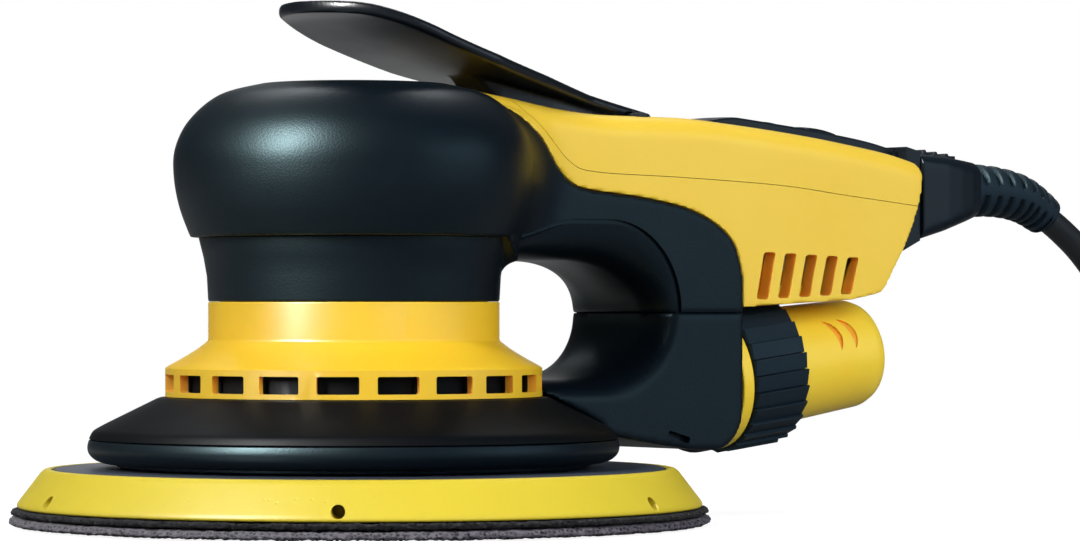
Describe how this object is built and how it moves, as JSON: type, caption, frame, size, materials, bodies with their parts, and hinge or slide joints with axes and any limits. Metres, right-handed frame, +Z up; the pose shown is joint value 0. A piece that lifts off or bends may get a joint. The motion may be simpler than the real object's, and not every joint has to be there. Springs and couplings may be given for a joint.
{
  "type": "orbital sander",
  "caption": "Electric random-orbit sander with a round pad, paddle lever, yellow and black casing, dust outlet and mains lead.",
  "frame": {"origin": "on the motor's axis, at the working face of the abrasive disc", "axes": "+Z up along the motor's axis, +X back along the tail towards the mains lead"},
  "size_m": [0.429, 0.1779, 0.1116],
  "materials": {
    "soft_black": "satin soft touch",
    "hard_black": "satin",
    "yellow": "satin",
    "orange_yellow": "satin",
    "lemon_foam": "matt skin",
    "slate": "satin",
    "felt": "fuzzy",
    "grit": "rough net",
    "steel": "turned",
    "aluminium": "extruded",
    "copper": "enamelled wire",
    "board_green": "solder mask",
    "brass": "polished"
  },
  "bodies": {
    "tool": {"head_grip": "soft_black", "grip_sleeve": "soft_black", "dust_duct": "soft_black", "shroud_lip": "soft_black", "brake_seal": "soft_black", "strain_relief": "soft_black", "cord": "soft_black", "cord_coil": "soft_black", "plug_body": "soft_black", "outlet_seal": "soft_black", "shroud": "hard_black", "bearing_bracket": "hard_black", "capacitor_1": "hard_black", "capacitor_2": "hard_black", "control_panel": "hard_black", "inlet_socket": "hard_black", "cable_coupling": "hard_black", "tail_housing": "yellow", "tail_cover": "yellow", "motor_housing": "orange_yellow", "outlet_flange": "orange_yellow", "stator": "steel", "lower_bearing": "steel", "upper_bearing": "steel", "shroud_screw_1": "steel", "shroud_screw_2": "steel", "shroud_screw_3": "steel", "lever_pin": "steel", "lever_spring": "steel", "heat_sink": "aluminium", "windings": "copper", "circuit_board": "board_green", "lever_sensor": "board_green", "plug_pin_1": "brass", "plug_pin_2": "brass"},
    "lever": {"lever": "hard_black", "lever_magnet": "steel"},
    "power_button": {"power_button": "soft_black"},
    "speed_up_button": {"speed_up_button": "soft_black"},
    "speed_down_button": {"speed_down_button": "soft_black"},
    "coupling_latch": {"coupling_latch": "hard_black"},
    "motor_rotor": {"shaft_balancer": "steel", "counterweight": "steel", "cooling_fan": "hard_black", "rotor_core": "steel", "rotor_magnets": "steel", "spindle_circlip": "steel", "spindle_bearing": "steel"},
    "pad": {"abrasive_disc": "grit", "hook_layer": "felt", "pad_foam": "lemon_foam", "pad_plate": "slate", "pad_washer": "steel", "pad_screw": "steel", "pad_spindle": "steel"},
    "outlet_collar": {"outlet_collar": "soft_black"},
    "outlet_nozzle": {"outlet_nozzle": "orange_yellow"}
  },
  "joints": [
    {"name": "lever_pivot", "type": "hinge", "parent": "tool", "child": "lever", "pos_m": [0.068, 0, 0.088], "axis": [0, -1, 0], "range_deg": [0, 5], "stiffness_Nm_per_rad": 3, "springref_deg": -5.73, "deforming": ["lever_spring"]},
    {"name": "motor_spin", "type": "hinge", "parent": "tool", "child": "motor_rotor", "pos_m": [0, 0, 0.05], "axis": [0, 0, 1], "continuous": true},
    {"name": "pad_spin", "type": "hinge", "parent": "motor_rotor", "child": "pad", "pos_m": [0, -0.0025, 0.02], "axis": [0, 0, 1], "continuous": true},
    {"name": "power_press", "type": "slide", "parent": "tool", "child": "power_button", "axis": [0, 0, -1], "range_m": [0, 0.0006], "stiffness_N_per_m": 800, "springref_m": -0.0005},
    {"name": "speed_up_press", "type": "slide", "parent": "tool", "child": "speed_up_button", "axis": [0, 0, -1], "range_m": [0, 0.0006], "stiffness_N_per_m": 800, "springref_m": -0.0005},
    {"name": "speed_down_press", "type": "slide", "parent": "tool", "child": "speed_down_button", "axis": [0, 0, -1], "range_m": [0, 0.0006], "stiffness_N_per_m": 800, "springref_m": -0.0005},
    {"name": "latch_press", "type": "slide", "parent": "tool", "child": "coupling_latch", "axis": [0, 0, -1], "range_m": [0, 0.0006], "stiffness_N_per_m": 1500, "springref_m": -0.0005},
    {"name": "collar_turn", "type": "hinge", "parent": "tool", "child": "outlet_collar", "pos_m": [0.095, 0, 0.03], "axis": [0.9925, 0, 0.1219], "continuous": true},
    {"name": "nozzle_turn", "type": "hinge", "parent": "tool", "child": "outlet_nozzle", "pos_m": [0.095, 0, 0.03], "axis": [0.9925, 0, 0.1219], "continuous": true}
  ]
}
